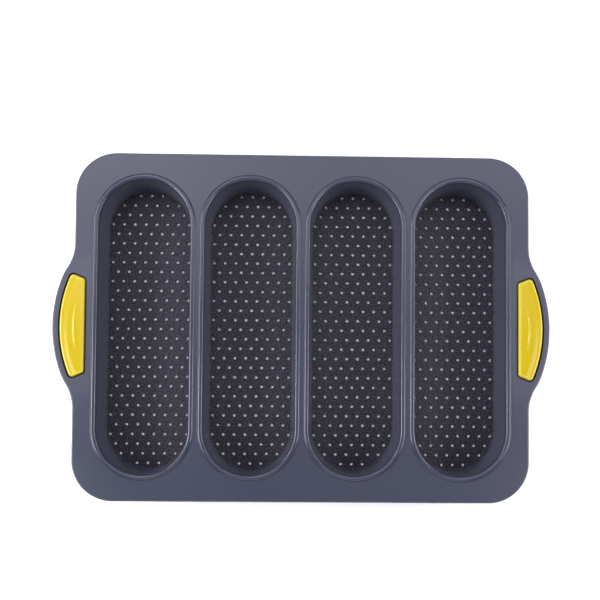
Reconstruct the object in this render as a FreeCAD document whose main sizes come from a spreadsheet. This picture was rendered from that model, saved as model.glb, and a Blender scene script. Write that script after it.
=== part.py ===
import math
import os
import re

import FreeCAD
import Part
import Sketcher

# A silicone tray for four baguettes, with a steel wire in its hem and a two-shell grip in each tab.
# The origin is the middle of the tray, on the plane that it stands on.
# +X runs across the troughs to the right tab, +Y runs along the troughs, and +Z points up.
# Every length is in millimetres.

SIZES = {
    # Flange, seen from above
    "rim_half_length": 183.0,
    "rim_half_width": 139.7,
    "rim_corner_radius": 33.0,
    # Tabs: a crown arc, two shoulder arcs, and two hollow root arcs that meet the rim's straight side
    "tab_reach": 200.0,
    "tab_crown_radius": 111.0,
    "tab_crown_half_width": 36.0,
    "tab_shoulder_radius": 50.0,
    "tab_root_radius": 36.0,
    # Flange, seen from the side
    "flange_top": 28.0,
    "hem_thickness": 6.0,
    "hem_edge_radius": 1.5,
    "sheet_thickness": 3.0,
    "hem_side_width": 15.0,
    "hem_end_width": 9.0,
    # Troughs: stadiums in plan, with a raised bead round each mouth
    "trough_count": 4,
    "trough_pitch": 85.0,
    "trough_spine": 82.0,
    "floor_thickness": 1.5,
    "floor_flat_half": 33.6,
    "floor_corner_radius": 1.2,
    "wall_thickness": 1.6,
    "bead_centre": 38.8,
    "bead_radius": 2.3,
    "bead_rise": 1.2,
    "bead_foot_radius": 0.8,
    # Perforations: staggered rows across the floor
    "hole_diameter": 2.5,
    "hole_pitch": 9.0,
    "row_pitch": 8.0,
    # Steel wire ring in the hem
    "wire_diameter": 2.6,
    "wire_inset": 2.6,
    "pin_hole_diameter": 2.1,
    "pin_hole_spacing": 60.0,
    # Grips
    "grip_inner_side": 174.3,
    "grip_reach": 193.7,
    "grip_straight_half": 36.0,
    "grip_end_angle": 23.0,
    "grip_inner_corner": 2.0,
    "grip_tip_corner": 3.0,
    "grip_gap": 1.3,
    "grip_recess_depth": 2.4,
    "grip_rise": 2.0,
    "grip_edge_radius": 1.8,
    "post_diameter": 4.2,
    "post_spacing": 26.0,
    "post_line": 182.2,
    "post_clearance": 0.4,
    "socket_depth": 2.6,
    # Thumb ridge on the upper shell
    "ridge_line": 181.9,
    "ridge_half_width": 0.8,
    "ridge_half_length": 19.5,
    "ridge_height": 0.5,
}

FIRST_TROUGH = "-(trough_count - 1) / 2 * trough_pitch"
LAST_TROUGH_FROM_FIRST = "(trough_count - 1) * trough_pitch"

# How Sketcher numbers an element's points and its own axes
START, END, CENTRE = 1, 2, 3
ORIGIN = (-1, 1)
X_AXIS, Y_AXIS = -1, -2

LEVEL_TOLERANCE = 1e-4

doc = FreeCAD.newDocument("baguette_tray")


def make_sheet():
    """Writes every driving size to the spreadsheet, one named cell each."""
    sheet = doc.addObject("Spreadsheet::Sheet", "Sizes")
    for row, (name, value) in enumerate(SIZES.items(), start=1):
        sheet.set(f"A{row}", name)
        sheet.set(f"B{row}", str(value))
        sheet.setAlias(f"B{row}", name)
    doc.recompute()


def sized(text):
    """Turns plain size names in an expression into references to the spreadsheet."""
    def reference(word):
        return f"Sizes.{word[0]}" if word[0] in SIZES else word[0]

    return re.sub(r"[a-z][a-z_]+", reference, text)


def make_body(name):
    body = doc.addObject("PartDesign::Body", name)
    body.Label = name
    return body


def origin_feature(body, role):
    return next(feature for feature in body.Origin.OriginFeatures if feature.Role == role)


def make_sketch(body, name, role, height="0", across="0"):
    """A sketch on one of the body's origin planes, moved along the plane's normal and its own X."""
    sketch = body.newObject("Sketcher::SketchObject", name)
    sketch.AttachmentSupport = [(origin_feature(body, role), "")]
    sketch.MapMode = "FlatFace"
    sketch.setExpression("AttachmentOffset.Base.z", sized(height))
    sketch.setExpression("AttachmentOffset.Base.x", sized(across))
    return sketch


def value_of(sketch, expression):
    return float(sketch.evalExpression(sized(expression)))


def dimension(sketch, kind, where, expression):
    """A driving constraint whose value follows an expression of the driving sizes."""
    value = value_of(sketch, expression)
    index = sketch.addConstraint(Sketcher.Constraint(kind, *where, value))
    sketch.setExpression(f"Constraints[{index}]", sized(expression))


def relate(sketch, kind, *where):
    sketch.addConstraint(Sketcher.Constraint(kind, *where))


def place(sketch, point, across=None, up=None):
    """Fixes a point of a sketch at a distance from the sketch's origin."""
    if across is not None:
        dimension(sketch, "DistanceX", (*ORIGIN, *point), across)
    if up is not None:
        dimension(sketch, "DistanceY", (*ORIGIN, *point), up)


def add_line(sketch, start, end):
    return sketch.addGeometry(Part.LineSegment(FreeCAD.Vector(*start, 0), FreeCAD.Vector(*end, 0)))


def add_arc(sketch, centre, radius, first_angle, last_angle):
    """An arc drawn anticlockwise between two angles in degrees."""
    circle = Part.Circle(FreeCAD.Vector(*centre, 0), FreeCAD.Vector(0, 0, 1), radius)
    arc = Part.ArcOfCircle(circle, math.radians(first_angle), math.radians(last_angle))
    return sketch.addGeometry(arc)


def add_circle(sketch, centre, diameter):
    radius = value_of(sketch, diameter) / 2
    circle = Part.Circle(FreeCAD.Vector(*centre, 0), FreeCAD.Vector(0, 0, 1), radius)
    index = sketch.addGeometry(circle)
    dimension(sketch, "Diameter", (index,), diameter)
    return index


def feature_of(body, kind, name, profile, **sizes):
    """A sketch-based feature whose sizes are expressions of the driving sizes."""
    feature = body.newObject(f"PartDesign::{kind}", name)
    feature.Profile = profile
    for property_name, expression in sizes.items():
        feature.setExpression(property_name, sized(expression))
    return feature


def mirror(body, name, role):
    feature = body.newObject("PartDesign::Mirrored", name)
    feature.MirrorPlane = (origin_feature(body, role), [""])
    return feature


def repeat(body, name, role, length, count):
    feature = body.newObject("PartDesign::LinearPattern", name)
    feature.Direction = (origin_feature(body, role), [""])
    feature.setExpression("Length", sized(length))
    feature.setExpression("Occurrences", sized(count))
    return feature


def transform(body, name, originals, steps):
    """Repeats features by every step in turn, and makes the result the body's tip."""
    feature = body.newObject("PartDesign::MultiTransform", name)
    feature.Originals = originals
    feature.Transformations = steps
    body.Tip = feature
    doc.recompute()
    return feature


def mirror_to_all_quarters(body, name, feature):
    steps = [mirror(body, f"{name}_back", "XZ_Plane"), mirror(body, f"{name}_left", "YZ_Plane")]
    return transform(body, f"{name}_quarters", [feature], steps)


def repeat_at_troughs(body, name, feature, first_step):
    """Repeats a feature of the first trough by its own step, and then at every trough."""
    along_tray = repeat(body, f"{name}_along_tray", "X_Axis", LAST_TROUGH_FROM_FIRST, "trough_count")
    return transform(body, f"{name}_at_troughs", [feature], [first_step, along_tray])


def draw_rim_quarter(sketch, inset):
    """Draws a quarter of the rim's outline, moved inwards: long side, corner, short side and half a tab.

    The pieces are tangent and run from the Y axis to the X axis. Returns the first and the last.
    """
    def size(expression):
        return value_of(sketch, expression)

    corner_radius = f"rim_corner_radius - {inset}"
    root_radius = f"tab_root_radius + {inset}"
    shoulder_radius = f"tab_shoulder_radius - {inset}"
    crown_radius = f"tab_crown_radius - {inset}"
    crown_centre = size("tab_reach - tab_crown_radius")
    crown_angle = math.asin(size("tab_crown_half_width / tab_crown_radius"))
    shoulder_offset = size("tab_crown_radius - tab_shoulder_radius")
    shoulder_x = crown_centre + shoulder_offset * math.cos(crown_angle)
    shoulder_y = shoulder_offset * math.sin(crown_angle)
    root_x = size("rim_half_length + tab_root_radius")
    root_from_shoulder = size("tab_root_radius + tab_shoulder_radius")
    root_y = shoulder_y + math.sqrt(root_from_shoulder ** 2 - (root_x - shoulder_x) ** 2)
    root_angle = math.atan2(root_y - shoulder_y, root_x - shoulder_x)
    corner_x = size("rim_half_length - rim_corner_radius")
    corner_y = size("rim_half_width - rim_corner_radius")
    side_x = size(f"rim_half_length - {inset}")
    side_y = size(f"rim_half_width - {inset}")

    long_side = add_line(sketch, (0, side_y), (corner_x, side_y))
    corner = add_arc(sketch, (corner_x, corner_y), size(corner_radius), 0, 90)
    short_side = add_line(sketch, (side_x, corner_y), (side_x, root_y))
    root = add_arc(sketch, (root_x, root_y), size(root_radius), 180, 180 + math.degrees(root_angle))
    shoulder_from, shoulder_to = math.degrees(crown_angle), math.degrees(root_angle)
    shoulder_centre = (shoulder_x, shoulder_y)
    shoulder = add_arc(sketch, shoulder_centre, size(shoulder_radius), shoulder_from, shoulder_to)
    crown = add_arc(sketch, (crown_centre, 0), size(crown_radius), 0, math.degrees(crown_angle))

    relate(sketch, "Tangent", long_side, END, corner, END)
    relate(sketch, "Tangent", corner, START, short_side, START)
    relate(sketch, "Tangent", short_side, END, root, START)
    relate(sketch, "Tangent", root, END, shoulder, END)
    relate(sketch, "Tangent", shoulder, START, crown, END)
    relate(sketch, "Horizontal", long_side)
    relate(sketch, "PointOnObject", long_side, START, Y_AXIS)
    relate(sketch, "PointOnObject", crown, START, X_AXIS)
    relate(sketch, "PointOnObject", crown, CENTRE, X_AXIS)
    place(sketch, (long_side, START), up=f"rim_half_width - {inset}")
    place(sketch, (short_side, START), across=f"rim_half_length - {inset}")
    place(sketch, (crown, CENTRE), across="tab_reach - tab_crown_radius")
    place(sketch, (crown, END), up=f"tab_crown_half_width * ({crown_radius}) / tab_crown_radius")
    dimension(sketch, "Radius", (corner,), corner_radius)
    dimension(sketch, "Radius", (root,), root_radius)
    dimension(sketch, "Radius", (shoulder,), shoulder_radius)
    dimension(sketch, "Radius", (crown,), crown_radius)
    return long_side, crown


def close_quarter(sketch, first, last, reach, top):
    """Closes a quarter outline through the sketch's origin."""
    to_origin = add_line(sketch, (value_of(sketch, reach), 0), (0, 0))
    from_origin = add_line(sketch, (0, 0), (0, value_of(sketch, top)))
    relate(sketch, "Coincident", last, START, to_origin, START)
    relate(sketch, "Coincident", to_origin, END, *ORIGIN)
    relate(sketch, "Coincident", from_origin, START, *ORIGIN)
    relate(sketch, "Coincident", from_origin, END, first, START)


def draw_rounded_quarter(sketch, half_length, half_width, radius):
    """A closed quarter of a rounded rectangle, with one corner at the sketch's origin."""
    length, width, bend = (value_of(sketch, size) for size in (half_length, half_width, radius))
    long_side = add_line(sketch, (0, width), (length - bend, width))
    corner = add_arc(sketch, (length - bend, width - bend), bend, 0, 90)
    short_side = add_line(sketch, (length, width - bend), (length, 0))
    to_origin = add_line(sketch, (length, 0), (0, 0))
    from_origin = add_line(sketch, (0, 0), (0, width))
    relate(sketch, "Tangent", long_side, END, corner, END)
    relate(sketch, "Tangent", corner, START, short_side, START)
    relate(sketch, "Horizontal", long_side)
    relate(sketch, "Vertical", short_side)
    relate(sketch, "Coincident", short_side, END, to_origin, START)
    relate(sketch, "PointOnObject", short_side, END, X_AXIS)
    relate(sketch, "Coincident", to_origin, END, *ORIGIN)
    relate(sketch, "Coincident", from_origin, START, *ORIGIN)
    relate(sketch, "Coincident", from_origin, END, long_side, START)
    relate(sketch, "PointOnObject", long_side, START, Y_AXIS)
    place(sketch, (short_side, END), across=half_length)
    place(sketch, (long_side, START), up=half_width)
    dimension(sketch, "Radius", (corner,), radius)


def draw_trough_half_section(sketch):
    """Draws half of a trough's cross-section: floor, wall and bead, closed on its middle plane."""
    def size(expression):
        return value_of(sketch, expression)

    floor = size("floor_thickness")
    flat = size("floor_flat_half")
    bend = size("floor_corner_radius")
    outer_bend = size("floor_corner_radius + floor_thickness")
    bead_x, bead_z = size("bead_centre"), size("flange_top + bead_rise - bead_radius")
    bead = size("bead_radius")
    foot = size("bead_foot_radius")
    top = size("flange_top")
    underside = size("flange_top - sheet_thickness")
    wall = size("wall_thickness")
    # The wall's inner face touches the floor's corner arc outside it and the bead's arc inside it
    rise, run = bead_z - (floor + bend), bead_x - flat
    lean = math.atan2(run, rise) - math.asin((bend + bead) / math.hypot(run, rise))
    out_x, out_z = math.cos(lean), -math.sin(lean)
    corner_end = (flat + bend * out_x, floor + bend + bend * out_z)
    bead_start = (bead_x - bead * out_x, bead_z - bead * out_z)
    outer_start = (flat + outer_bend * out_x, floor + bend + outer_bend * out_z)
    outer_top = (bead_start[0] + wall * out_x, underside)
    foot_x = bead_x + math.sqrt((bead + foot) ** 2 - (top + foot - bead_z) ** 2)
    foot_angle = math.degrees(math.atan2(top + foot - bead_z, foot_x - bead_x))
    lean_degrees = math.degrees(lean)

    middle = add_line(sketch, (0, floor), (0, 0))
    bottom = add_line(sketch, (0, 0), (flat, 0))
    outer_corner = add_arc(sketch, (flat, outer_bend), outer_bend, 270, 360 - lean_degrees)
    outer_wall = add_line(sketch, outer_start, outer_top)
    shelf = add_line(sketch, outer_top, (foot_x, underside))
    buried_side = add_line(sketch, (foot_x, underside), (foot_x, top))
    foot_arc = add_arc(sketch, (foot_x, top + foot), foot, 180 + foot_angle, 270)
    bead_arc = add_arc(sketch, (bead_x, bead_z), bead, foot_angle, 180 - lean_degrees)
    inner_wall = add_line(sketch, bead_start, corner_end)
    inner_corner = add_arc(sketch, (flat, floor + bend), bend, 270, 360 - lean_degrees)
    floor_top = add_line(sketch, (flat, floor), (0, floor))

    relate(sketch, "Coincident", middle, END, *ORIGIN)
    relate(sketch, "Vertical", middle)
    relate(sketch, "Coincident", bottom, START, middle, END)
    relate(sketch, "Horizontal", bottom)
    relate(sketch, "Tangent", bottom, END, outer_corner, START)
    relate(sketch, "Tangent", outer_corner, END, outer_wall, START)
    relate(sketch, "Coincident", outer_wall, END, shelf, START)
    relate(sketch, "Horizontal", shelf)
    relate(sketch, "Coincident", shelf, END, buried_side, START)
    relate(sketch, "Vertical", buried_side)
    relate(sketch, "Perpendicular", buried_side, END, foot_arc, END)
    relate(sketch, "Tangent", foot_arc, START, bead_arc, START)
    relate(sketch, "Tangent", bead_arc, END, inner_wall, START)
    relate(sketch, "Tangent", inner_wall, END, inner_corner, END)
    relate(sketch, "Tangent", inner_corner, START, floor_top, START)
    relate(sketch, "Coincident", floor_top, END, middle, START)
    relate(sketch, "Horizontal", floor_top)
    place(sketch, (middle, START), up="floor_thickness")
    place(sketch, (inner_corner, CENTRE), across="floor_flat_half")
    place(sketch, (bottom, END), across="floor_flat_half")
    place(sketch, (bead_arc, CENTRE), across="bead_centre", up="flange_top + bead_rise - bead_radius")
    place(sketch, (shelf, START), up="flange_top - sheet_thickness")
    place(sketch, (foot_arc, END), up="flange_top")
    dimension(sketch, "Radius", (inner_corner,), "floor_corner_radius")
    dimension(sketch, "Radius", (outer_corner,), "floor_corner_radius + floor_thickness")
    dimension(sketch, "Radius", (bead_arc,), "bead_radius")
    dimension(sketch, "Radius", (foot_arc,), "bead_foot_radius")
    dimension(sketch, "Distance", (outer_wall, END, inner_wall), "wall_thickness")


def draw_stadium(sketch, radius):
    """A closed stadium round a spine that runs along the sketch's Y axis."""
    spine, bend = value_of(sketch, "trough_spine"), value_of(sketch, radius)
    right = add_line(sketch, (bend, -spine), (bend, spine))
    back = add_arc(sketch, (0, spine), bend, 0, 180)
    left = add_line(sketch, (-bend, spine), (-bend, -spine))
    front = add_arc(sketch, (0, -spine), bend, 180, 360)
    relate(sketch, "Tangent", right, END, back, START)
    relate(sketch, "Tangent", back, END, left, START)
    relate(sketch, "Tangent", left, END, front, START)
    relate(sketch, "Tangent", front, END, right, START)
    relate(sketch, "Vertical", right)
    relate(sketch, "PointOnObject", back, CENTRE, Y_AXIS)
    relate(sketch, "PointOnObject", front, CENTRE, Y_AXIS)
    place(sketch, (back, CENTRE), up="trough_spine")
    dimension(sketch, "DistanceY", (front, CENTRE, *ORIGIN), "trough_spine")
    dimension(sketch, "Radius", (back,), radius)


def draw_grip_half(sketch, gap):
    """Draws half of a grip's outline, moved outwards by a gap: inner side, slanted end and crown arc."""
    def size(expression):
        return value_of(sketch, expression)

    inner_radius, tip_radius = f"grip_inner_corner + {gap}", f"grip_tip_corner + {gap}"
    crown_radius = f"grip_reach - tab_reach + tab_crown_radius + {gap}"
    inner_side, reach = f"grip_inner_side - {gap}", f"grip_reach + {gap}"
    slant = math.radians(size("grip_end_angle"))
    inner_x, inner_y = size("grip_inner_side + grip_inner_corner"), size("grip_straight_half")
    crown_x = size("tab_reach - tab_crown_radius")
    # The tip's centre is a corner radius inside both the slanted end and the crown arc
    tip_reach = size("grip_reach - tab_reach + tab_crown_radius - grip_tip_corner")
    away = size("grip_inner_corner - grip_tip_corner")
    base_x, base_y = inner_x - away * math.sin(slant), inner_y + away * math.cos(slant)
    across = (base_x - crown_x) * math.cos(slant) + base_y * math.sin(slant)
    distance = math.sqrt(across ** 2 + tip_reach ** 2 - (base_x - crown_x) ** 2 - base_y ** 2) - across
    tip_x, tip_y = base_x + distance * math.cos(slant), base_y + distance * math.sin(slant)
    tip_angle = math.degrees(math.atan2(tip_y, tip_x - crown_x))
    end_angle = 90 + math.degrees(slant)
    outwards = FreeCAD.Vector(-math.sin(slant), math.cos(slant), 0)
    slanted_from = FreeCAD.Vector(inner_x, inner_y, 0) + outwards * size(inner_radius)
    slanted_to = FreeCAD.Vector(tip_x, tip_y, 0) + outwards * size(tip_radius)

    inner = add_line(sketch, (size(inner_side), 0), (size(inner_side), inner_y))
    inner_corner = add_arc(sketch, (inner_x, inner_y), size(inner_radius), end_angle, 180)
    slanted = add_line(sketch, slanted_from[:2], slanted_to[:2])
    tip = add_arc(sketch, (tip_x, tip_y), size(tip_radius), tip_angle, end_angle)
    crown = add_arc(sketch, (crown_x, 0), size(crown_radius), 0, tip_angle)
    middle = add_line(sketch, (size(reach), 0), (size(inner_side), 0))

    relate(sketch, "Tangent", inner, END, inner_corner, END)
    relate(sketch, "Tangent", inner_corner, START, slanted, START)
    relate(sketch, "Tangent", slanted, END, tip, END)
    relate(sketch, "Tangent", tip, START, crown, END)
    relate(sketch, "Coincident", crown, START, middle, START)
    relate(sketch, "Coincident", middle, END, inner, START)
    relate(sketch, "Vertical", inner)
    relate(sketch, "PointOnObject", inner, START, X_AXIS)
    relate(sketch, "PointOnObject", crown, START, X_AXIS)
    relate(sketch, "PointOnObject", crown, CENTRE, X_AXIS)
    place(sketch, (inner, END), across=inner_side, up="grip_straight_half")
    place(sketch, (crown, CENTRE), across="tab_reach - tab_crown_radius")
    dimension(sketch, "Radius", (inner_corner,), inner_radius)
    dimension(sketch, "Radius", (tip,), tip_radius)
    dimension(sketch, "Radius", (crown,), crown_radius)
    index = sketch.addConstraint(Sketcher.Constraint("Angle", slanted, slant))
    sketch.setExpression(f"Constraints[{index}]", sized("grip_end_angle * 1 deg"))


def draw_post_circles(sketch, diameter):
    """Three circles on the line of the grip's posts."""
    line, spacing = value_of(sketch, "post_line"), value_of(sketch, "post_spacing")
    centres = [(add_circle(sketch, (line, step * spacing), diameter), CENTRE) for step in (-1, 0, 1)]
    for centre in centres:
        place(sketch, centre, across="post_line")
    relate(sketch, "PointOnObject", *centres[1], X_AXIS)
    dimension(sketch, "DistanceY", (*centres[0], *centres[1]), "post_spacing")
    dimension(sketch, "DistanceY", (*centres[1], *centres[2]), "post_spacing")


def draw_ridge(sketch):
    """A lens between two arcs that meet at its tips, symmetric about the X axis."""
    crown_centre = "tab_reach - tab_crown_radius"
    # The outer arc is concentric with the tab's crown, and the inner one is flatter
    outer_radius = f"ridge_line + ridge_half_width - ({crown_centre})"
    tip = f"{crown_centre} + sqrt(({outer_radius})^2 - ridge_half_length^2)"
    bulge = f"(ridge_line - ridge_half_width - ({tip}))"
    inner_radius = f"(ridge_half_length^2 + {bulge}^2) / (2 * {bulge})"
    tip_x, half_length = value_of(sketch, tip), value_of(sketch, "ridge_half_length")
    arcs = []
    for radius_text in (outer_radius, inner_radius):
        radius = value_of(sketch, radius_text)
        angle = math.degrees(math.asin(half_length / radius))
        centre_x = tip_x - math.sqrt(radius ** 2 - half_length ** 2)
        arcs.append(add_arc(sketch, (centre_x, 0), radius, -angle, angle))
        dimension(sketch, "Radius", (arcs[-1],), radius_text)
    outer_arc, inner_arc = arcs
    relate(sketch, "Coincident", outer_arc, END, inner_arc, END)
    relate(sketch, "Coincident", outer_arc, START, inner_arc, START)
    relate(sketch, "PointOnObject", outer_arc, CENTRE, X_AXIS)
    place(sketch, (outer_arc, CENTRE), across=crown_centre)
    place(sketch, (outer_arc, END), up="ridge_half_length")


def level_edges(feature, level):
    """Names of the edges that lie at one height."""
    names = []
    for index, edge in enumerate(feature.Shape.Edges, start=1):
        box = edge.BoundBox
        if max(abs(box.ZMin - level), abs(box.ZMax - level)) < LEVEL_TOLERANCE:
            names.append(f"Edge{index}")
    return names


def round_edges(body, name, base, edge_names, radius):
    feature = body.newObject("PartDesign::Fillet", name)
    feature.Base = (base, edge_names)
    feature.setExpression("Radius", sized(radius))
    doc.recompute()
    return feature


def add_flange(body):
    """The flange: a thick hem all round, a thinner sheet inside it, and a mouth for each trough."""
    outline = make_sketch(body, "rim_outline", "XY_Plane", height="flange_top - hem_thickness")
    first, last = draw_rim_quarter(outline, "0")
    close_quarter(outline, first, last, "tab_reach", "rim_half_width")
    pad = feature_of(body, "Pad", "rim_plate", outline, Length="hem_thickness")
    plate = mirror_to_all_quarters(body, "rim_plate", pad)
    outer_edges = level_edges(plate, SIZES["flange_top"])
    outer_edges += level_edges(plate, SIZES["flange_top"] - SIZES["hem_thickness"])
    round_edges(body, "rim_edges", plate, outer_edges, "hem_edge_radius")

    recess = make_sketch(body, "sheet_recess", "XY_Plane", height="flange_top - hem_thickness")
    draw_rounded_quarter(
        recess,
        half_length="rim_half_length - hem_side_width",
        half_width="rim_half_width - hem_end_width",
        radius="rim_corner_radius - hem_end_width",
    )
    cut = feature_of(body, "Pocket", "sheet_recess_cut", recess, Length="hem_thickness - sheet_thickness")
    cut.Reversed = True
    mirror_to_all_quarters(body, "sheet_recess", cut)

    mouth = make_sketch(body, "trough_mouth", "XY_Plane", height="flange_top", across=FIRST_TROUGH)
    draw_stadium(mouth, "bead_centre")
    opening = feature_of(body, "Pocket", "trough_mouth_cut", mouth, Length="hem_thickness")
    body.Tip = opening
    doc.recompute()
    feature = repeat(body, "trough_mouths", "X_Axis", LAST_TROUGH_FROM_FIRST, "trough_count")
    feature.Originals = [opening]
    body.Tip = feature
    doc.recompute()


def add_troughs(body):
    """Each trough: its section drawn out along the spine, and turned half a circle at both ends."""
    middle = make_sketch(body, "trough_section", "XZ_Plane", across=FIRST_TROUGH)
    draw_trough_half_section(middle)
    straight = feature_of(body, "Pad", "trough_side", middle, Length="2 * trough_spine")
    straight.Midplane = True
    doc.recompute()
    other_side = body.newObject("PartDesign::Mirrored", "trough_other_side")
    other_side.MirrorPlane = (middle, ["V_Axis"])
    repeat_at_troughs(body, "trough_side", straight, other_side)

    end = make_sketch(body, "trough_end_section", "XZ_Plane", height="trough_spine", across=FIRST_TROUGH)
    draw_trough_half_section(end)
    turned = body.newObject("PartDesign::Revolution", "trough_end")
    turned.Profile = end
    turned.ReferenceAxis = (end, ["V_Axis"])
    turned.Angle = 180
    turned.Reversed = True
    doc.recompute()
    repeat_at_troughs(body, "trough_end", turned, mirror(body, "trough_back_end", "XZ_Plane"))


def add_perforations(body, name, columns, rows, first_row):
    """Evenly spaced rows of holes through every floor, centred on the trough.

    first_row counts row pitches from the trough's middle to the outermost of these rows.
    """
    sketch = make_sketch(body, f"{name}_hole", "XY_Plane", across=FIRST_TROUGH)
    half_span = (columns - 1) / 2
    start = (-half_span * SIZES["hole_pitch"], -first_row * SIZES["row_pitch"])
    hole = add_circle(sketch, start, "hole_diameter")
    dimension(sketch, "DistanceX", (hole, CENTRE, *ORIGIN), f"{half_span} * hole_pitch")
    dimension(sketch, "DistanceY", (hole, CENTRE, *ORIGIN), f"{first_row} * row_pitch")
    cut = feature_of(body, "Pocket", f"{name}_cut", sketch, Length="floor_thickness")
    cut.Reversed = True
    steps = [
        repeat(body, f"{name}_columns", "X_Axis", f"{2 * half_span} * hole_pitch", str(columns)),
        repeat(body, f"{name}_rows", "Y_Axis", f"{2 * first_row} * row_pitch", str(rows)),
        repeat(body, f"{name}_troughs", "X_Axis", LAST_TROUGH_FROM_FIRST, "trough_count"),
    ]
    transform(body, name, [cut], steps)


def add_wire_path(body, kind, name):
    """A round section swept along a quarter of the hem, and mirrored to make a ring."""
    path = make_sketch(body, f"{name}_path", "XY_Plane", height="flange_top - hem_thickness / 2")
    draw_rim_quarter(path, "wire_inset")
    section = make_sketch(body, f"{name}_section", "XZ_Plane")
    start = (SIZES["tab_reach"] - SIZES["wire_inset"], SIZES["flange_top"] - SIZES["hem_thickness"] / 2)
    circle = add_circle(section, start, "wire_diameter")
    place(section, (circle, CENTRE), across="tab_reach - wire_inset", up="flange_top - hem_thickness / 2")
    sweep = body.newObject(f"PartDesign::{kind}", f"{name}_sweep")
    sweep.Profile = section
    sweep.Spine = (path, [])
    doc.recompute()
    return mirror_to_all_quarters(body, name, sweep)


def add_pin_holes(body):
    """Holes from below that reach the wire, left by the pins that hold it while the tray is moulded."""
    sketch = make_sketch(body, "pin_hole", "XY_Plane", height="flange_top - hem_thickness")
    row = SIZES["rim_half_width"] - SIZES["wire_inset"]
    side = SIZES["rim_half_length"] - SIZES["wire_inset"]
    spacing = SIZES["pin_hole_spacing"]
    near = add_circle(sketch, (spacing, row), "pin_hole_diameter")
    far = add_circle(sketch, (2 * spacing, row), "pin_hole_diameter")
    beside = add_circle(sketch, (side, 1.5 * spacing), "pin_hole_diameter")
    place(sketch, (near, CENTRE), across="pin_hole_spacing", up="rim_half_width - wire_inset")
    place(sketch, (far, CENTRE), across="2 * pin_hole_spacing", up="rim_half_width - wire_inset")
    place(sketch, (beside, CENTRE), across="rim_half_length - wire_inset", up="1.5 * pin_hole_spacing")
    cut = feature_of(body, "Pocket", "pin_hole_cut", sketch, Length="hem_thickness / 2")
    cut.Reversed = True
    mirror_to_all_quarters(body, "pin_holes", cut)


def add_grip_recesses(body):
    """A recess in the top and the bottom of each tab, with a web between them that has post holes."""
    faces = (("top", "flange_top", False), ("bottom", "flange_top - hem_thickness", True))
    for name, height, upwards in faces:
        sketch = make_sketch(body, f"grip_recess_{name}", "XY_Plane", height=height)
        draw_grip_half(sketch, "grip_gap")
        cut = feature_of(body, "Pocket", f"grip_recess_{name}_cut", sketch, Length="grip_recess_depth")
        cut.Reversed = upwards
        mirror_to_all_quarters(body, f"grip_recess_{name}", cut)

    posts = make_sketch(body, "web_holes", "XY_Plane", height="flange_top - hem_thickness")
    draw_post_circles(posts, "post_diameter + post_clearance")
    cut = feature_of(body, "Pocket", "web_holes_cut", posts, Length="hem_thickness")
    cut.Reversed = True
    transform(body, "web_holes_both_tabs", [cut], [mirror(body, "web_holes_left", "YZ_Plane")])


def make_silicone_tray():
    body = make_body("silicone_tray")
    add_flange(body)
    add_troughs(body)
    add_grip_recesses(body)
    add_wire_path(body, "SubtractivePipe", "wire_channel")
    add_pin_holes(body)
    add_perforations(body, "even_rows", columns=7, rows=13, first_row=12)
    add_perforations(body, "odd_rows", columns=8, rows=12, first_row=11)
    add_perforations(body, "last_odd_rows", columns=6, rows=2, first_row=13)
    add_perforations(body, "last_even_rows", columns=3, rows=2, first_row=14)
    return body


def make_rim_frame():
    body = make_body("rim_frame")
    add_wire_path(body, "AdditivePipe", "wire")
    return body


def add_grip_shell(body, height, upwards):
    """A grip shell from its flat joint face to its rounded outer face."""
    sketch = make_sketch(body, "outline", "XY_Plane", height=height)
    draw_grip_half(sketch, "0")
    pad = feature_of(body, "Pad", "half_shell", sketch, Length="grip_recess_depth + grip_rise")
    pad.Reversed = not upwards
    doc.recompute()
    shell = transform(body, "shell", [pad], [mirror(body, "other_half", "XZ_Plane")])
    box = shell.Shape.BoundBox
    outer_level = box.ZMax if upwards else box.ZMin
    return round_edges(body, "outer_edge", shell, level_edges(shell, outer_level), "grip_edge_radius")


def make_grip_upper(side):
    """The upper shell, with blind sockets for the posts and a low thumb ridge."""
    body = make_body(f"grip_{side}_upper")
    joint_face = "flange_top - grip_recess_depth"
    add_grip_shell(body, joint_face, upwards=True)
    ridge = make_sketch(body, "ridge_outline", "XY_Plane", height="flange_top")
    draw_ridge(ridge)
    feature_of(body, "Pad", "ridge", ridge, Length="grip_rise + ridge_height")
    doc.recompute()
    sockets = make_sketch(body, "sockets", "XY_Plane", height=joint_face)
    draw_post_circles(sockets, "post_diameter")
    cut = feature_of(body, "Pocket", "socket_cut", sockets, Length="socket_depth")
    cut.Reversed = True
    doc.recompute()
    return body


def make_grip_lower(side):
    """The lower shell, with three posts that stand through the tab's web."""
    body = make_body(f"grip_{side}_lower")
    joint_face = "flange_top - hem_thickness + grip_recess_depth"
    add_grip_shell(body, joint_face, upwards=False)
    posts = make_sketch(body, "posts", "XY_Plane", height=joint_face)
    draw_post_circles(posts, "post_diameter")
    web = "hem_thickness - 2 * grip_recess_depth"
    feature_of(body, "Pad", "post_pad", posts, Length=f"{web} + socket_depth - post_clearance")
    doc.recompute()
    return body


def turn_to_left(body):
    """The left grip is the right one turned half a circle round the tray's vertical axis."""
    body.Placement = FreeCAD.Placement(FreeCAD.Vector(), FreeCAD.Rotation(FreeCAD.Vector(0, 0, 1), 180))


make_sheet()
sub_parts = [make_silicone_tray(), make_rim_frame()]
for make_grip in (make_grip_upper, make_grip_lower):
    sub_parts.append(make_grip("right"))
    left_grip = make_grip("left")
    turn_to_left(left_grip)
    sub_parts.append(left_grip)
doc.recompute()

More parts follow.
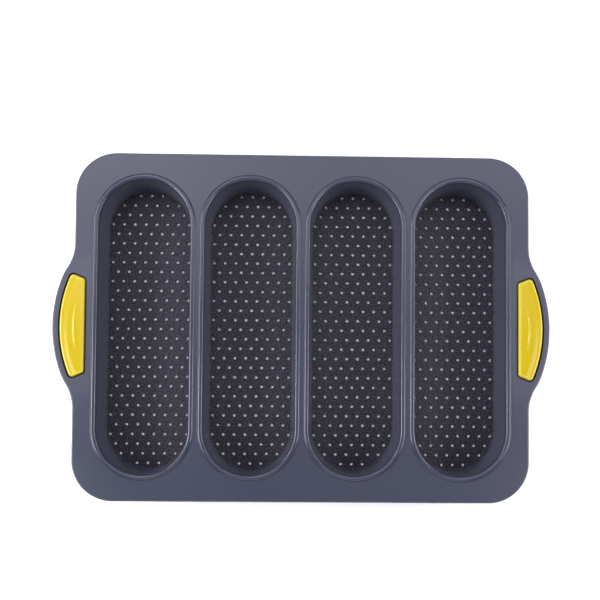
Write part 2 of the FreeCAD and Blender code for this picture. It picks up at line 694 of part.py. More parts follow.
for thing in doc.Objects:
    if "Invalid" in thing.State or "Error" in thing.State:
        raise RuntimeError(f"{thing.Name} failed: {thing.State}")
os.makedirs("parts", exist_ok=True)
for sub_part in sub_parts:
    shape = sub_part.Shape
    if shape.isNull() or not shape.isValid() or len(shape.Solids) != 1:
        raise RuntimeError(f"{sub_part.Label} is not one valid solid")
    shape.exportStep(f"parts/{sub_part.Label}.step")
    box = shape.BoundBox
    print(
        f"{sub_part.Label}: {len(shape.Faces)} faces, {shape.Volume:.0f} mm3, "
        f"{box.XLength:.2f} x {box.YLength:.2f} x {box.ZLength:.2f} mm, from z {box.ZMin:.2f}"
    )
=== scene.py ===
import math

import bmesh
import bpy
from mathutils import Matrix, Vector
from mathutils.geometry import delaunay_2d_cdt


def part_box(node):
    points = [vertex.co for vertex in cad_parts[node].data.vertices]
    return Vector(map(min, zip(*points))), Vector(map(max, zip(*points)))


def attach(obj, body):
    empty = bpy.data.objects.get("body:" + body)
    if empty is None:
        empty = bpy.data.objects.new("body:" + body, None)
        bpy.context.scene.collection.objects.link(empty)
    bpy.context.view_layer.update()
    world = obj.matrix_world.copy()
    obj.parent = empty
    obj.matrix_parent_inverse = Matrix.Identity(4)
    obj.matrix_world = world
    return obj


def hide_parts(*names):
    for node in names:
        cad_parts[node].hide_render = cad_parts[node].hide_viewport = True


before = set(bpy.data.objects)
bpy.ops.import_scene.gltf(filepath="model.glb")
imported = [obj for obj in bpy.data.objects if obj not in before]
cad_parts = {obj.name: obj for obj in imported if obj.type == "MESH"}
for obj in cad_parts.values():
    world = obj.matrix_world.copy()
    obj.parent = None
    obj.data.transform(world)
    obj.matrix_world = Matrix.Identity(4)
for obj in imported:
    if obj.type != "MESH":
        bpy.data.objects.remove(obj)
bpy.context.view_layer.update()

# Looks of the baguette tray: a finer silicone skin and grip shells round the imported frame.
# Meshes are drawn in millimetres, in the frame's own axes, and scaled to metres once at the end.

MM = 0.001
tray_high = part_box("silicone_tray")[1]

# Flange and hem
FLANGE_TOP = 28.0
TAB_REACH = tray_high.x / MM
RIM_HALF_WIDTH = tray_high.y / MM
RIM_HALF_LENGTH = 183.0
RIM_CORNER_RADIUS = 33.0
CROWN_RADIUS = 111.0
CROWN_HALF_WIDTH = 36.0
SHOULDER_RADIUS = 50.0
ROOT_RADIUS = 36.0
HEM_THICKNESS = 6.0
HEM_EDGE_RADIUS = 1.5
HEM_SIDE_WIDTH = 15.0
HEM_END_WIDTH = 9.0
SHEET_THICKNESS = 3.0

# Troughs
TROUGH_COUNT = 4
TROUGH_PITCH = 85.0
TROUGH_SPINE = 82.0
FLOOR_THICKNESS = 1.5
FLOOR_FLAT_HALF = 33.6
FLOOR_CORNER_RADIUS = 1.2
WALL_THICKNESS = 1.6
BEAD_CENTRE = 38.8
BEAD_RADIUS = 2.3
BEAD_RISE = 1.2
BEAD_FOOT_RADIUS = 0.8

# Perforations: rows are numbered from a trough's middle. Odd rows have one hole more than even ones,
# apart from the last two rows at each end, which have fewer
HOLE_RADIUS = 1.25
HOLE_PITCH = 9.0
ROW_PITCH = 8.0
LAST_ROW = 14
HOLES_IN_EVEN_ROWS = 7
HOLES_IN_END_ROWS = {13: 6, 14: 3}

# Pin holes under the hem, and the web's post holes
WIRE_INSET = 2.6
PIN_HOLE_RADIUS = 1.05
PIN_HOLE_SPACING = 60.0
PIN_HOLE_DEPTH = 2.6
POST_RADIUS = 2.1
POST_CLEARANCE = 0.2
POST_SPACING = 26.0
POST_LINE = 182.2
POST_TOP = 27.8
SOCKET_TOP = 28.2

# Grips
GRIP_INNER_SIDE = 174.3
GRIP_REACH = 193.7
GRIP_STRAIGHT_HALF = 36.0
GRIP_END_ANGLE = math.radians(23.0)
GRIP_INNER_CORNER = 2.0
GRIP_TIP_CORNER = 3.0
GRIP_GAP = 1.3
GRIP_RECESS_DEPTH = 2.4
GRIP_RISE = 2.0
GRIP_EDGE_RADIUS = 1.8

# Relief of a grip's face: a broad step near the crown, a slight fall towards both ends, and a thumb ridge
STEP_FROM = 2.6
STEP_TO = 6.6
STEP_HEIGHT = 0.5
END_FALL = 0.35
RIDGE_LINE = 181.9
RIDGE_HALF_WIDTH = 1.3
RIDGE_HALF_LENGTH = 19.5
RIDGE_HEIGHT = 0.5
RELIEF_GRID = 0.9

# Levels and centres that follow from these sizes
HEM_BOTTOM = FLANGE_TOP - HEM_THICKNESS
SHEET_BOTTOM = FLANGE_TOP - SHEET_THICKNESS
CROWN_CENTRE = TAB_REACH - CROWN_RADIUS
GRIP_CROWN_RADIUS = GRIP_REACH - CROWN_CENTRE
WEB_TOP = FLANGE_TOP - GRIP_RECESS_DEPTH
WEB_BOTTOM = HEM_BOTTOM + GRIP_RECESS_DEPTH

# Fineness of the meshes
ARC_STEPS = 6
BEAD_STEPS = 16
TURN_STEPS = 48
STRAIGHT_STEPS = 16
HOLE_STEPS = 20
OUTLINE_STEPS = 14
WALL_STEPS = 4
SOFT_EDGE = 0.2
SHARP_ANGLE = math.radians(32.0)
WELD = 0.002 * MM
CDT_INSIDE_WITH_HOLES = 2
CDT_TOLERANCE = 1e-6

# Looks of the silicone by height, each from the height where it is absent to where it is full. The walls'
# lighter colour is painted light, the beads' feet are darkened with painted shade, and the floors' dark
# colour is partly painted shade
FLOOR_LOOK = (FLOOR_THICKNESS + 1.9, FLOOR_THICKNESS + 0.5)
WALL_LOOK = (SHEET_BOTTOM + 0.3, SHEET_BOTTOM - 0.5)
BEAD_LOOK = (FLANGE_TOP + 0.3, FLANGE_TOP + 0.6)
FOOT_LOOK = (FLANGE_TOP + 0.005, FLANGE_TOP + 0.1)

# Spans of what the shader nodes measure: most values of a noise, the pointiness of an edge that
# wears, and how open a place is, from deep in a gap to an open face
NOISE_SPAN = (0.3, 0.7)
EDGE_SPAN = (0.503, 0.520)
OPEN_SPAN = (0.15, 0.55)
OPEN_SAMPLES = 8
FULL_SPAN = (0.0, 1.0)

# Studio, in metres: the floor lies a little below the tray, so that its white shows through the holes
STUDIO_HALF = 6.0
STUDIO_DROP = 0.00025
SKY_STRENGTH = 0.15

# Camera: lens in millimetres, place in metres, and turn in degrees, close to straight down
LENS_LENGTH = 40.5
SENSOR_WIDTH = 36.0
LENS_SHIFT = 0.10
CAMERA_PLACE = (-0.0106, -0.0418, 0.5684)
CAMERA_TURN = (1.664, -0.955, 0.495)


def arc(centre, radius, first, last, steps):
    """Points of an arc from one angle to another, in radians, both ends included."""
    angles = [first + (last - first) * step / steps for step in range(steps + 1)]
    return [(centre[0] + radius * math.cos(a), centre[1] + radius * math.sin(a)) for a in angles]


def line(start, end, steps):
    """Points of a straight run, both ends included."""
    shares = [step / steps for step in range(steps + 1)]
    return [tuple(a + (b - a) * share for a, b in zip(start, end)) for share in shares]


def joined(*runs):
    """Joins runs end to end, where each begins with the last point of the run before it."""
    points = list(runs[0])
    for run in runs[1:]:
        points += run[1:]
    return points


def circle(centre, radius):
    """A hole's or a post's outline."""
    return arc(centre, radius, 0, math.tau, HOLE_STEPS)[:-1]


def mirrored_ring(quarter):
    """A closed ring from the quarter that runs from the Y axis to the X axis."""
    right = quarter + [(x, -y) for x, y in reversed(quarter[:-1])]
    return right + [(-x, y) for x, y in reversed(right[1:-1])]


def rim_ring(inset):
    """The flange's outline, moved inwards: long side, corner, short side, and half a tab, four times."""
    crown_angle = math.asin(CROWN_HALF_WIDTH / CROWN_RADIUS)
    shoulder_offset = CROWN_RADIUS - SHOULDER_RADIUS
    shoulder_x = CROWN_CENTRE + shoulder_offset * math.cos(crown_angle)
    shoulder_y = shoulder_offset * math.sin(crown_angle)
    root_x = RIM_HALF_LENGTH + ROOT_RADIUS
    reach = ROOT_RADIUS + SHOULDER_RADIUS
    root_y = shoulder_y + math.sqrt(reach ** 2 - (root_x - shoulder_x) ** 2)
    root_angle = math.atan2(root_y - shoulder_y, root_x - shoulder_x)
    corner = (RIM_HALF_LENGTH - RIM_CORNER_RADIUS, RIM_HALF_WIDTH - RIM_CORNER_RADIUS)
    side_x, side_y = RIM_HALF_LENGTH - inset, RIM_HALF_WIDTH - inset
    return mirrored_ring(joined(
        line((0, side_y), (corner[0], side_y), STRAIGHT_STEPS),
        arc(corner, RIM_CORNER_RADIUS - inset, math.pi / 2, 0, 2 * OUTLINE_STEPS),
        line((side_x, corner[1]), (side_x, root_y), WALL_STEPS),
        arc((root_x, root_y), ROOT_RADIUS + inset, math.pi, math.pi + root_angle, OUTLINE_STEPS),
        arc((shoulder_x, shoulder_y), SHOULDER_RADIUS - inset, root_angle, crown_angle, OUTLINE_STEPS),
        arc((CROWN_CENTRE, 0), CROWN_RADIUS - inset, crown_angle, 0, OUTLINE_STEPS),
    ))


def sheet_ring(grown=0.0):
    """The hem's inner edge under the flange, a rounded rectangle."""
    length, width = RIM_HALF_LENGTH - HEM_SIDE_WIDTH, RIM_HALF_WIDTH - HEM_END_WIDTH
    bend = RIM_CORNER_RADIUS - HEM_END_WIDTH
    corner = (length - bend, width - bend)
    return mirrored_ring(joined(
        line((0, width + grown), (corner[0], width + grown), STRAIGHT_STEPS),
        arc(corner, bend + grown, math.pi / 2, 0, OUTLINE_STEPS),
        line((length + grown, corner[1]), (length + grown, 0), STRAIGHT_STEPS),
    ))


def stadium_ring(centre_x, radius):
    """A trough's outline at a radius round its spine."""
    back = arc((centre_x, TROUGH_SPINE), radius, 0, math.pi, TURN_STEPS)
    front = arc((centre_x, -TROUGH_SPINE), radius, math.pi, math.tau, TURN_STEPS)
    left = line(back[-1], front[0], STRAIGHT_STEPS)
    right = line(front[-1], back[0], STRAIGHT_STEPS)
    return joined(back, left, front, right)[:-1]


def grip_ring(gap, side):
    """A grip's outline, moved outwards by a gap. side is 1 for the right tab and -1 for the left one."""
    inner = (GRIP_INNER_SIDE + GRIP_INNER_CORNER, GRIP_STRAIGHT_HALF)
    along = Vector((math.cos(GRIP_END_ANGLE), math.sin(GRIP_END_ANGLE)))
    out = Vector((-along.y, along.x))
    # The tip's centre is a corner radius inside both the slanted end and the crown arc
    base = Vector(inner) + out * (GRIP_INNER_CORNER - GRIP_TIP_CORNER) - Vector((CROWN_CENTRE, 0))
    tip_reach = GRIP_CROWN_RADIUS - GRIP_TIP_CORNER
    across = base.dot(along)
    distance = math.sqrt(across ** 2 + tip_reach ** 2 - base.length_squared) - across
    from_crown = base + along * distance
    tip = (from_crown.x + CROWN_CENTRE, from_crown.y)
    tip_angle = math.atan2(from_crown.y, from_crown.x)
    end_angle = math.pi / 2 + GRIP_END_ANGLE
    corner = arc(inner, GRIP_INNER_CORNER + gap, math.pi, end_angle, ARC_STEPS)
    tip_arc = arc(tip, GRIP_TIP_CORNER + gap, end_angle, tip_angle, ARC_STEPS)
    half = joined(
        line((GRIP_INNER_SIDE - gap, 0), corner[0], STRAIGHT_STEPS),
        corner,
        line(corner[-1], tip_arc[0], ARC_STEPS),
        tip_arc,
        arc((CROWN_CENTRE, 0), GRIP_CROWN_RADIUS + gap, tip_angle, 0, 2 * OUTLINE_STEPS),
    )
    ring = half + [(x, -y) for x, y in reversed(half[1:-1])]
    return [(side * x, y) for x, y in ring]


def trough_profiles():
    """Radius and height of a trough's skin: inside from the flange to the floor, and outside."""
    floor_centre = (FLOOR_FLAT_HALF, FLOOR_THICKNESS + FLOOR_CORNER_RADIUS)
    bead_centre = (BEAD_CENTRE, FLANGE_TOP + BEAD_RISE - BEAD_RADIUS)
    run, rise = bead_centre[0] - floor_centre[0], bead_centre[1] - floor_centre[1]
    touch = math.asin((FLOOR_CORNER_RADIUS + BEAD_RADIUS) / math.hypot(run, rise))
    lean = math.atan2(run, rise) - touch
    outer_bend = FLOOR_CORNER_RADIUS + FLOOR_THICKNESS
    foot_height = FLANGE_TOP + BEAD_FOOT_RADIUS - bead_centre[1]
    foot_run = math.sqrt((BEAD_RADIUS + BEAD_FOOT_RADIUS) ** 2 - foot_height ** 2)
    foot_angle = math.atan2(foot_height, foot_run)
    foot_centre = (BEAD_CENTRE + foot_run, FLANGE_TOP + BEAD_FOOT_RADIUS)

    foot = arc(foot_centre, BEAD_FOOT_RADIUS, 1.5 * math.pi, math.pi + foot_angle, ARC_STEPS)
    bead = arc(bead_centre, BEAD_RADIUS, foot_angle, math.pi - lean, BEAD_STEPS)
    inner_corner = arc(floor_centre, FLOOR_CORNER_RADIUS, -lean, -math.pi / 2, ARC_STEPS)
    outer_corner = arc(floor_centre, outer_bend, -lean, -math.pi / 2, ARC_STEPS)
    outer_top = bead[-1][0] + WALL_THICKNESS * math.cos(lean)
    inside = joined(foot, bead, line(bead[-1], inner_corner[0], WALL_STEPS), inner_corner)
    outside = joined(line((outer_top, SHEET_BOTTOM), outer_corner[0], WALL_STEPS), outer_corner)
    return inside, outside


def hole_centres(centre_x):
    """Centres of a floor's perforations: staggered rows that follow its round ends."""
    centres = []
    for row in range(-LAST_ROW, LAST_ROW + 1):
        count = HOLES_IN_END_ROWS.get(abs(row), HOLES_IN_EVEN_ROWS + row % 2)
        first = centre_x - (count - 1) / 2 * HOLE_PITCH
        centres += [(first + column * HOLE_PITCH, row * ROW_PITCH) for column in range(count)]
    return centres


def pin_hole_centres():
    """Centres of the blind holes below the wire: four along each long side, and two at each short one."""
    row, side = RIM_HALF_WIDTH - WIRE_INSET, RIM_HALF_LENGTH - WIRE_INSET
    quarter = [(PIN_HOLE_SPACING, row), (2 * PIN_HOLE_SPACING, row), (side, 1.5 * PIN_HOLE_SPACING)]
    return [(right * x, back * y) for x, y in quarter for right in (1, -1) for back in (1, -1)]


def post_centres(side):
    """Centres of a grip's posts. side is 1 for the right tab and -1 for the left one."""
    return [(side * POST_LINE, step * POST_SPACING) for step in (-1, 0, 1)]


class Skin:
    """Collects points and faces in millimetres, and welds them into one closed mesh."""

    def __init__(self):
        self.points = []
        self.faces = []

    def loft(self, rings):
        """Quads between closed level rings, given as (points in plan, height) from first to last."""
        self.loft_points([[(x, y, height) for x, y in ring] for ring, height in rings])

    def loft_points(self, rings):
        """Quads between closed rings of points in space, from first to last."""
        first = len(self.points)
        size = len(rings[0])
        for ring in rings:
            self.points += ring
        for level in range(len(rings) - 1):
            low, high = first + level * size, first + (level + 1) * size
            for here in range(size):
                there = (here + 1) % size
                self.faces.append((low + here, low + there, high + there, high + here))

    def flat(self, outline, holes, height):
        """A flat sheet inside an outline and outside its holes."""
        self.sheet(outline, holes, [], lambda x, y: height)

    def sheet(self, outline, holes, inner_points, height_at):
        """A sheet inside an outline and outside its holes, whose height follows a function."""
        plan, edges, regions = [], [], []
        for ring in [outline, *holes]:
            start = len(plan)
            numbers = list(range(start, start + len(ring)))
            plan += [Vector(point) for point in ring]
            edges += list(zip(numbers, numbers[1:] + numbers[:1]))
            regions.append(numbers)
        plan += [Vector(point) for point in inner_points]
        found = delaunay_2d_cdt(plan, edges, regions, CDT_INSIDE_WITH_HOLES, CDT_TOLERANCE)
        first = len(self.points)
        self.points += [(point.x, point.y, height_at(point.x, point.y)) for point in found[0]]
        self.faces += [tuple(first + number for number in face) for face in found[2]]

    def finish(self, name, slot, material, replaced):
        """Makes the object, gives it smooth faces between its sharp edges, and puts it on the frame."""
        mesh = bpy.data.meshes.new(name)
        mesh.from_pydata([Vector(point) * MM for point in self.points], [], self.faces)
        work = bmesh.new()
        work.from_mesh(mesh)
        bmesh.ops.remove_doubles(work, verts=work.verts, dist=WELD)
        bmesh.ops.recalc_face_normals(work, faces=work.faces)
        open_edges = sum(1 for edge in work.edges if not edge.is_manifold)
        if open_edges:
            raise RuntimeError(f"{name} has {open_edges} open edges")
        work.to_mesh(mesh)
        work.free()
        mesh.shade_smooth()
        mesh.set_sharp_from_angle(angle=SHARP_ANGLE)
        mesh.materials.append(material)
        piece = bpy.data.objects.new(name, mesh)
        bpy.context.scene.collection.objects.link(piece)
        weighted = piece.modifiers.new("flat faces stay flat", "WEIGHTED_NORMAL")
        weighted.keep_sharp = True
        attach(piece, "root")
        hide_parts(replaced)


def add_flange(skin, feet, backs, windows):
    """The flange's edge, its top round the beads' feet, and its underside with the hem and pin holes."""
    edge = arc((0, 0), HEM_EDGE_RADIUS, math.pi / 2, 0, ARC_STEPS)
    top_edge = [(HEM_EDGE_RADIUS - x, FLANGE_TOP - HEM_EDGE_RADIUS + z) for x, z in edge]
    low_edge = [(inset, FLANGE_TOP + HEM_BOTTOM - height) for inset, height in reversed(top_edge)]
    skin.loft([(rim_ring(inset), height) for inset, height in top_edge + low_edge])
    skin.flat(rim_ring(HEM_EDGE_RADIUS), feet + windows, FLANGE_TOP)

    hem_inside = sheet_ring(SOFT_EDGE)
    pins = [circle(centre, PIN_HOLE_RADIUS) for centre in pin_hole_centres()]
    skin.flat(rim_ring(HEM_EDGE_RADIUS), [hem_inside, *windows, *pins], HEM_BOTTOM)
    skin.loft([
        (hem_inside, HEM_BOTTOM),
        (sheet_ring(), HEM_BOTTOM + SOFT_EDGE),
        (sheet_ring(), SHEET_BOTTOM),
    ])
    skin.flat(sheet_ring(), backs, SHEET_BOTTOM)
    for pin in pins:
        skin.loft([(pin, HEM_BOTTOM), (pin, HEM_BOTTOM + PIN_HOLE_DEPTH)])
        skin.flat(pin, [], HEM_BOTTOM + PIN_HOLE_DEPTH)


def add_grip_recesses(skin, window, side):
    """A tab's recesses, above and below its web, and the post holes through the web."""
    recess = grip_ring(GRIP_GAP, side)
    skin.loft([(window, FLANGE_TOP), (recess, FLANGE_TOP - SOFT_EDGE), (recess, WEB_TOP)])
    skin.loft([(window, HEM_BOTTOM), (recess, HEM_BOTTOM + SOFT_EDGE), (recess, WEB_BOTTOM)])
    posts = [circle(centre, POST_RADIUS + POST_CLEARANCE) for centre in post_centres(side)]
    skin.flat(recess, posts, WEB_TOP)
    skin.flat(recess, posts, WEB_BOTTOM)
    for post in posts:
        skin.loft([(post, WEB_TOP), (post, WEB_BOTTOM)])


def add_trough(skin, centre_x, profiles):
    """A trough's bead, walls and perforated floor."""
    for profile in profiles:
        skin.loft([(stadium_ring(centre_x, radius), height) for radius, height in profile])
    centres = hole_centres(centre_x)
    mouths = [circle(point, HOLE_RADIUS + SOFT_EDGE) for point in centres]
    floor = stadium_ring(centre_x, FLOOR_FLAT_HALF)
    skin.flat(floor, mouths, FLOOR_THICKNESS)
    skin.flat(floor, mouths, 0.0)
    for point, mouth in zip(centres, mouths):
        bore = circle(point, HOLE_RADIUS)
        skin.loft([
            (mouth, FLOOR_THICKNESS),
            (bore, FLOOR_THICKNESS - SOFT_EDGE),
            (bore, SOFT_EDGE),
            (mouth, 0.0),
        ])


def make_silicone_skin(material):
    """The whole moulding, closed: flange, hem, recesses, troughs, floors and holes."""
    skin = Skin()
    middle = (TROUGH_COUNT - 1) / 2
    troughs = [(number - middle) * TROUGH_PITCH for number in range(TROUGH_COUNT)]
    inside, outside = trough_profiles()
    foot_radius, outer_radius = inside[0][0], outside[0][0]
    feet = [stadium_ring(centre_x, foot_radius) for centre_x in troughs]
    backs = [stadium_ring(centre_x, outer_radius) for centre_x in troughs]
    sides = (1, -1)
    windows = [grip_ring(GRIP_GAP + SOFT_EDGE, side) for side in sides]

    add_flange(skin, feet, backs, windows)
    for side, window in zip(sides, windows):
        add_grip_recesses(skin, window, side)
    for centre_x in troughs:
        add_trough(skin, centre_x, (inside, outside))
    skin.finish("silicone_skin", "silicone", material, "silicone_tray")


def grid_inside(ring, spacing):
    """Points of a square grid that lie inside a ring, clear of its edge."""
    low_x, high_x = min(x for x, y in ring), max(x for x, y in ring)
    high_y = max(y for x, y in ring)
    points = []
    for row in range(-int(high_y / spacing), int(high_y / spacing) + 1):
        for column in range(1, int((high_x - low_x) / spacing) + 1):
            point = (low_x + column * spacing, row * spacing)
            if clearance(point, ring) > spacing / 2:
                points.append(point)
    return points


def clearance(point, ring):
    """Distance from a point to the nearest side of a ring that bulges outwards, negative outside it."""
    turn = sum(a[0] * b[1] - a[1] * b[0] for a, b in zip(ring, ring[1:] + ring[:1]))
    nearest = math.inf
    for a, b in zip(ring, ring[1:] + ring[:1]):
        run = (b[0] - a[0], b[1] - a[1])
        cross = run[0] * (point[1] - a[1]) - run[1] * (point[0] - a[0])
        nearest = min(nearest, math.copysign(1, turn) * cross / math.hypot(*run))
    return nearest


def smooth_step(value, start, end):
    """0 up to the start and 1 from the end on, with a soft rise between them."""
    share = min(max((value - start) / (end - start), 0.0), 1.0)
    return share * share * (3 - 2 * share)


def relief(x, y, ridge):
    """How far a grip's face stands below its highest level, apart from the ridge."""
    from_centre = math.hypot(abs(x) - CROWN_CENTRE, y)
    from_edge = GRIP_CROWN_RADIUS - from_centre
    drop = STEP_HEIGHT * (1 - smooth_step(from_edge, STEP_FROM, STEP_TO))
    drop += END_FALL * (y / GRIP_STRAIGHT_HALF) ** 2
    along = abs(y) / RIDGE_HALF_LENGTH
    if ridge and along < 1:
        half_width = RIDGE_HALF_WIDTH * math.sqrt(1 - along ** 2)
        away = abs(from_centre - (RIDGE_LINE - CROWN_CENTRE)) / half_width
        if away < 1:
            drop -= RIDGE_HEIGHT * (1 - away ** 2) ** 2 * math.sqrt(1 - along ** 2)
    return drop


def make_grip_shell(side_name, upper, material):
    """A grip shell with a rounded, softly stepped face. The lower one carries the posts."""
    skin = Skin()
    side = 1 if side_name == "right" else -1
    joint = WEB_TOP if upper else WEB_BOTTOM
    away = 1 if upper else -1
    face = joint + away * (GRIP_RECESS_DEPTH + GRIP_RISE)

    def height_at(x, y):
        return face - away * relief(x, y, upper)

    outline = grip_ring(0, side)
    rings = [[(x, y, joint) for x, y in outline]]
    for out, up in arc((0, 0), GRIP_EDGE_RADIUS, 0, math.pi / 2, ARC_STEPS):
        ring = grip_ring(out - GRIP_EDGE_RADIUS, side)
        rings.append([(x, y, height_at(x, y) - away * (GRIP_EDGE_RADIUS - up)) for x, y in ring])
    skin.loft_points(rings)
    inner = grip_ring(-GRIP_EDGE_RADIUS, side)
    skin.sheet(inner, [], grid_inside(inner, RELIEF_GRID), height_at)

    posts = [circle(centre, POST_RADIUS) for centre in post_centres(side)]
    post_end = SOCKET_TOP if upper else POST_TOP
    skin.flat(outline, posts, joint)
    for post in posts:
        skin.loft([(post, joint), (post, post_end)])
        skin.flat(post, [], post_end)
    name = f"grip_{side_name}_upper" if upper else f"grip_{side_name}_lower"
    skin.finish(f"{name}_shell", "grip_nylon", material, name)


class Surface:
    """A node-based material round one Principled shader, whose inputs are given with _ for spaces."""

    def __init__(self, name, **shader_inputs):
        self.material = bpy.data.materials.new(name)
        self.material.use_nodes = True
        self.tree = self.material.node_tree
        self.shader = self.tree.nodes["Principled BSDF"]
        for socket, value in shader_inputs.items():
            self.shader.inputs[socket.replace("_", " ")].default_value = value
        self.place = self.add("ShaderNodeTexCoord").outputs["Object"]

    def add(self, kind, inputs=None, **settings):
        """A node with its inputs set or linked, by name or by number."""
        made = self.tree.nodes.new(kind)
        for setting, value in settings.items():
            setattr(made, setting, value)
        for socket, value in (inputs or {}).items():
            self.connect(made.inputs[socket], value)
        return made

    def connect(self, socket, value):
        """Links a socket to another node's output, or sets it to a fixed value."""
        if isinstance(value, bpy.types.NodeSocket):
            self.tree.links.new(value, socket)
        else:
            socket.default_value = value

    def noise(self, scale, detail):
        """A pattern between 0 and 1, whose blotches are about one metre over the scale in size."""
        inputs = {"Vector": self.place, "Scale": scale, "Detail": detail}
        return self.add("ShaderNodeTexNoise", inputs).outputs["Fac"]

    def height_share(self, none, full):
        """0 at one height and beyond, and 1 at another and beyond, in millimetres in the frame."""
        z = self.add("ShaderNodeSeparateXYZ", {"Vector": self.place}).outputs["Z"]
        return self.spread(z, (none * MM, full * MM), FULL_SPAN)

    def spread(self, value, span, result):
        """Maps a value from one span to another, and keeps it inside that one."""
        low, high = span
        new_low, new_high = result
        inputs = {"Value": value, "From Min": low, "From Max": high, "To Min": new_low, "To Max": new_high}
        return self.add("ShaderNodeMapRange", inputs).outputs["Result"]

    def blend(self, share, first, second):
        """A colour between two colours."""
        inputs = {"Factor": share, "A": first, "B": second}
        made = self.add("ShaderNodeMix", data_type="RGBA")
        for socket in made.inputs:
            if socket.enabled and socket.name in inputs:
                self.connect(socket, inputs[socket.name])
        return next(socket for socket in made.outputs if socket.enabled)

    def product(self, first, second):
        return self.maths("MULTIPLY", first, second)

    def maths(self, operation, first, second):
        inputs = {0: first, 1: second}
        return self.add("ShaderNodeMath", inputs, operation=operation).outputs["Value"]

    def bump(self, height, depth, strength, below=None):
        """A bump of a depth in millimetres, on top of the bump below it."""
        inputs = {"Height": height, "Distance": depth * MM, "Strength": strength}
        if below is not None:
            inputs["Normal"] = below
        return self.add("ShaderNodeBump", inputs).outputs["Normal"]

    def edge_share(self):
        """0 on flat and hollow faces, and 1 on outward edges, where handling wears the surface; on the
        grips the paler edges are also a painted highlight.
        """
        sharpness = self.add("ShaderNodeNewGeometry").outputs["Pointiness"]
        return self.spread(sharpness, EDGE_SPAN, FULL_SPAN)

    def crevice_shade_share(self, reach):
        """Where shade is painted: 1 deep in a gap about as narrow as the reach in millimetres, and 0 on
        open faces.
        """
        inputs = {"Distance": reach * MM}
        openness = self.add("ShaderNodeAmbientOcclusion", inputs, samples=OPEN_SAMPLES).outputs["AO"]
        return self.spread(openness, OPEN_SPAN, (1.0, 0.0))

    def finish(self, **shader_links):
        """Links the shader's inputs to what was made for them."""
        for socket, value in shader_links.items():
            self.connect(self.shader.inputs[socket.replace("_", " ")], value)
        return self.material


def silicone_finish():
    """Slate silicone: satin all over, except for the troughs' dull, finely blasted floors, whose dark
    colour is partly painted shade.
    """
    made = Surface("silicone", IOR=1.41)
    on_floor = made.height_share(*FLOOR_LOOK)
    on_wall = made.height_share(*WALL_LOOK)
    on_bead = made.height_share(*BEAD_LOOK)
    on_foot = made.maths("SUBTRACT", made.height_share(*FOOT_LOOK), on_bead)
    off_bead = made.maths("SUBTRACT", 1.0, on_bead)
    clouds = made.noise(scale=9.0, detail=3.0)
    grain = made.noise(scale=750.0, detail=1.0)
    dust = made.noise(scale=2600.0, detail=1.0)
    speckle = made.spread(grain, (0.4, 0.6), FULL_SPAN)

    # Slate, lighter on the walls as painted light and on rubbed edges from wear, and darkened with painted
    # shade in crevices and along each bead's foot
    satin_colour = made.blend(clouds, (0.030, 0.033, 0.056, 1), (0.035, 0.038, 0.064, 1))
    # The walls' lighter slate is painted light.
    wall_painted_light_colour = made.blend(clouds, (0.042, 0.045, 0.066, 1), (0.048, 0.051, 0.074, 1))
    # The floors' dark colour is partly their blasted finish and partly painted shade.
    blasted_floor_and_shade_colour = made.blend(speckle, (0.0004, 0.0002, 0.0030, 1), (0.030, 0.026, 0.048, 1))
    rubbed_colour = made.blend(dust, (0.042, 0.044, 0.070, 1), (0.060, 0.062, 0.090, 1))
    shade_colour = (0.004, 0.004, 0.007, 1)
    most_rubbed = 0.6
    most_foot_shade = 0.6
    crevice_reach = 4.0
    rubbed = made.product(made.edge_share(), made.product(off_bead, most_rubbed))
    colour = made.blend(on_wall, satin_colour, wall_painted_light_colour)
    colour = made.blend(rubbed, colour, rubbed_colour)
    # Painted shade along each bead's foot.
    colour = made.blend(made.product(on_foot, most_foot_shade), colour, shade_colour)
    # Painted shade deep in narrow gaps, such as round the grips.
    colour = made.blend(made.crevice_shade_share(crevice_reach), colour, shade_colour)
    colour = made.blend(on_floor, colour, blasted_floor_and_shade_colour)

    # The beads are the shiniest, and the floors the dullest
    bead_polish = made.product(on_bead, -0.20)
    satin = made.maths("ADD", made.spread(clouds, NOISE_SPAN, (0.32, 0.38)), bead_polish)
    dull = made.spread(grain, NOISE_SPAN, (0.60, 0.85))
    extra = made.product(made.maths("SUBTRACT", dull, satin), on_floor)
    roughness = made.maths("ADD", satin, extra)

    blasted = made.bump(made.product(grain, on_floor), depth=0.5, strength=1.0)
    fine = made.bump(dust, depth=0.02, strength=0.35, below=blasted)
    return made.finish(Base_Color=colour, Roughness=roughness, Normal=fine)


def nylon_finish():
    """Gloss yellow nylon with a faint mottle and moulding ripple, paler and duller where hands rub it; the
    paler edges are partly a painted highlight.
    """
    made = Surface("grip_nylon", Specular_IOR_Level=0.38)
    mottle = made.noise(scale=60.0, detail=3.0)
    ripple = made.noise(scale=220.0, detail=2.0)
    scuff = made.noise(scale=1500.0, detail=2.0)
    # Paler edges are partly wear and partly a painted highlight.
    worn_and_highlit = made.product(made.edge_share(), made.spread(scuff, NOISE_SPAN, (0.5, 0.9)))
    fresh_colour = made.blend(mottle, (0.350, 0.258, 0.002, 1), (0.380, 0.280, 0.004, 1))
    worn_and_highlight_colour = (0.50, 0.40, 0.030, 1)
    colour = made.blend(worn_and_highlit, fresh_colour, worn_and_highlight_colour)
    extra_where_worn = made.product(worn_and_highlit, 0.08)
    roughness = made.maths("ADD", made.spread(scuff, NOISE_SPAN, (0.20, 0.28)), extra_where_worn)
    scuffed = made.bump(scuff, depth=0.01, strength=0.3)
    rippled = made.bump(ripple, depth=0.05, strength=0.25, below=scuffed)
    return made.finish(Base_Color=colour, Roughness=roughness, Normal=rippled)


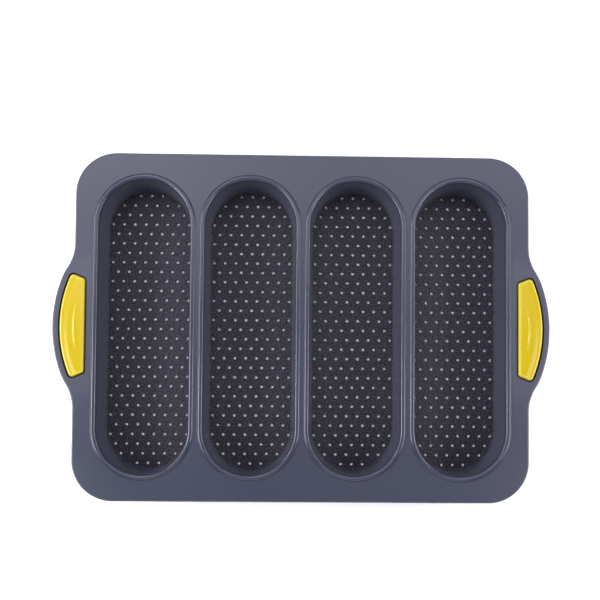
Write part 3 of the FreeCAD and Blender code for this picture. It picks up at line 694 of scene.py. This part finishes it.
def steel_finish():
    """Drawn stainless wire, a little duller and browner where it has rubbed."""
    made = Surface("frame_steel", Metallic=1.0)
    streaks = made.noise(scale=1800.0, detail=3.0)
    stain = made.noise(scale=90.0, detail=3.0)
    clean_colour = made.blend(streaks, (0.50, 0.50, 0.52, 1), (0.66, 0.66, 0.67, 1))
    stain_colour = (0.40, 0.37, 0.33, 1)
    colour = made.blend(made.spread(stain, (0.5, 0.7), (0.0, 0.5)), clean_colour, stain_colour)
    roughness = made.spread(streaks, NOISE_SPAN, (0.24, 0.40))
    drawn = made.bump(streaks, depth=0.01, strength=0.4)
    return made.finish(Base_Color=colour, Roughness=roughness, Normal=drawn)


def floor_finish():
    """Pale matt paper."""
    made = Surface("studio_floor")
    speck = made.noise(scale=40.0, detail=2.0)
    colour = made.blend(speck, (0.90, 0.90, 0.95, 1), (0.92, 0.92, 0.97, 1))
    roughness = made.spread(speck, FULL_SPAN, (0.85, 0.95))
    return made.finish(Base_Color=colour, Roughness=roughness)


def make_floor():
    """The plain floor that the tray stands over."""
    corners = [(-1, -1), (1, -1), (1, 1), (-1, 1)]
    points = [(x * STUDIO_HALF, y * STUDIO_HALF, -STUDIO_DROP) for x, y in corners]
    mesh = bpy.data.meshes.new("floor")
    mesh.from_pydata(points, [], [(0, 1, 2, 3)])
    mesh.materials.append(floor_finish())
    floor = bpy.data.objects.new("floor", mesh)
    bpy.context.scene.collection.objects.link(floor)


def add_softbox(name, place, size, power):
    """A white area light that faces the middle of the tray."""
    lamp = bpy.data.lights.new(name, "AREA")
    lamp.shape = "RECTANGLE"
    lamp.size, lamp.size_y = size
    lamp.energy = power
    holder = bpy.data.objects.new(name, lamp)
    holder.location = place
    holder.rotation_euler = (-Vector(place)).to_track_quat("-Z", "Y").to_euler()
    bpy.context.scene.collection.objects.link(holder)


def light_the_studio():
    """Soft boxes all round, stronger on the left, under a faint white sky."""
    tube = (0.9, 0.16)
    strip = (0.9, 0.35)
    square = (0.45, 0.45)
    panel = (0.6, 0.6)
    add_softbox("low_left_softbox", (-0.85, 0.05, 0.42), tube, 9.5)
    add_softbox("low_right_softbox", (0.85, 0.05, 0.42), tube, 7.0)
    add_softbox("left_softbox", (-0.75, -0.20, 0.60), square, 4.4)
    add_softbox("right_softbox", (0.75, -0.20, 0.60), square, 2.9)
    add_softbox("high_left_softbox", (-0.35, 0.48, 1.0), panel, 4.7)
    add_softbox("high_right_softbox", (0.35, 0.48, 1.0), panel, 3.2)
    add_softbox("back_softbox", (0.0, 0.80, 0.45), strip, 2.0)
    add_softbox("front_softbox", (0.0, -0.80, 0.50), strip, 2.4)
    world = bpy.data.worlds.new("studio")
    world.use_nodes = True
    sky = world.node_tree.nodes["Background"].inputs
    sky["Color"].default_value = (1.0, 1.0, 1.0, 1.0)
    sky["Strength"].default_value = SKY_STRENGTH
    bpy.context.scene.world = world


def place_camera():
    """The camera, nearly above the tray's middle, at the angle of the reference view."""
    lens = bpy.data.cameras.new("camera")
    lens.lens = LENS_LENGTH
    lens.sensor_width = SENSOR_WIDTH
    lens.shift_y = LENS_SHIFT
    camera = bpy.data.objects.new("camera", lens)
    camera.location = CAMERA_PLACE
    camera.rotation_euler = [math.radians(angle) for angle in CAMERA_TURN]
    bpy.context.scene.collection.objects.link(camera)
    bpy.context.scene.camera = camera


silicone, nylon, steel = silicone_finish(), nylon_finish(), steel_finish()
make_silicone_skin(silicone)
for side_name in ("left", "right"):
    for upper in (True, False):
        make_grip_shell(side_name, upper, nylon)
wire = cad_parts["rim_frame"]
wire.data.materials.clear()
wire.data.materials.append(steel)

make_floor()
light_the_studio()
place_camera()
bpy.context.scene.view_settings.view_transform = "Standard"
